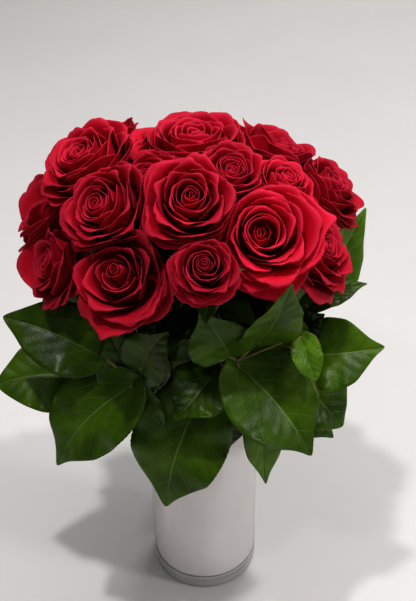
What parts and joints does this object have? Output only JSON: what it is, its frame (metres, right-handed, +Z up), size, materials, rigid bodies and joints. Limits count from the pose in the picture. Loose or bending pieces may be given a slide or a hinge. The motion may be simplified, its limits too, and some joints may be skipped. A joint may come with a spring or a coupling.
{
  "type": "roses in a vase",
  "caption": "Tight dome of red roses with a collar of pointed glossy leaves, standing in a straight white-lined clear glass vase with a thick foot.",
  "frame": {"origin": "centre of the flat face that the vase stands on", "axes": "+Z up along the vase, -Y towards the front of the bouquet, +X to its right seen from the front"},
  "size_m": [0.3162, 0.2692, 0.4657],
  "materials": {
    "clear_glass": "polished",
    "white_glass": "gloss",
    "rose_petals": "matte",
    "rose_stem": "satin",
    "leaf_green": "satin"
  },
  "bodies": {
    "root": {"vase_glass": "clear_glass", "vase_white_lining": "white_glass", "rose_01_bloom": "rose_petals", "rose_01_stem": "rose_stem", "rose_02_bloom": "rose_petals", "rose_02_stem": "rose_stem", "rose_03_bloom": "rose_petals", "rose_03_stem": "rose_stem", "rose_04_bloom": "rose_petals", "rose_04_stem": "rose_stem", "rose_05_bloom": "rose_petals", "rose_05_stem": "rose_stem", "rose_06_bloom": "rose_petals", "rose_06_stem": "rose_stem", "rose_07_bloom": "rose_petals", "rose_07_stem": "rose_stem", "rose_08_bloom": "rose_petals", "rose_08_stem": "rose_stem", "rose_09_bloom": "rose_petals", "rose_09_stem": "rose_stem", "rose_10_bloom": "rose_petals", "rose_10_stem": "rose_stem", "rose_11_bloom": "rose_petals", "rose_11_stem": "rose_stem", "rose_12_bloom": "rose_petals", "rose_12_stem": "rose_stem", "rose_13_bloom": "rose_petals", "rose_13_stem": "rose_stem", "rose_14_bloom": "rose_petals", "rose_14_stem": "rose_stem", "rose_15_bloom": "rose_petals", "rose_15_stem": "rose_stem", "rose_16_bloom": "rose_petals", "rose_16_stem": "rose_stem", "rose_17_bloom": "rose_petals", "rose_17_stem": "rose_stem", "rose_18_bloom": "rose_petals", "rose_18_stem": "rose_stem", "rose_19_bloom": "rose_petals", "rose_19_stem": "rose_stem", "rose_20_bloom": "rose_petals", "rose_20_stem": "rose_stem", "rose_21_bloom": "rose_petals", "rose_21_stem": "rose_stem", "rose_22_bloom": "rose_petals", "rose_22_stem": "rose_stem", "rose_23_bloom": "rose_petals", "rose_23_stem": "rose_stem", "rose_24_bloom": "rose_petals", "rose_24_stem": "rose_stem", "leaf_sprig_01": "leaf_green", "leaf_sprig_02": "leaf_green", "leaf_sprig_03": "leaf_green", "leaf_sprig_04": "leaf_green", "leaf_sprig_05": "leaf_green", "leaf_sprig_06": "leaf_green", "leaf_sprig_07": "leaf_green", "leaf_sprig_08": "leaf_green", "leaf_sprig_09": "leaf_green", "leaf_sprig_10": "leaf_green"}
  },
  "joints": []
}
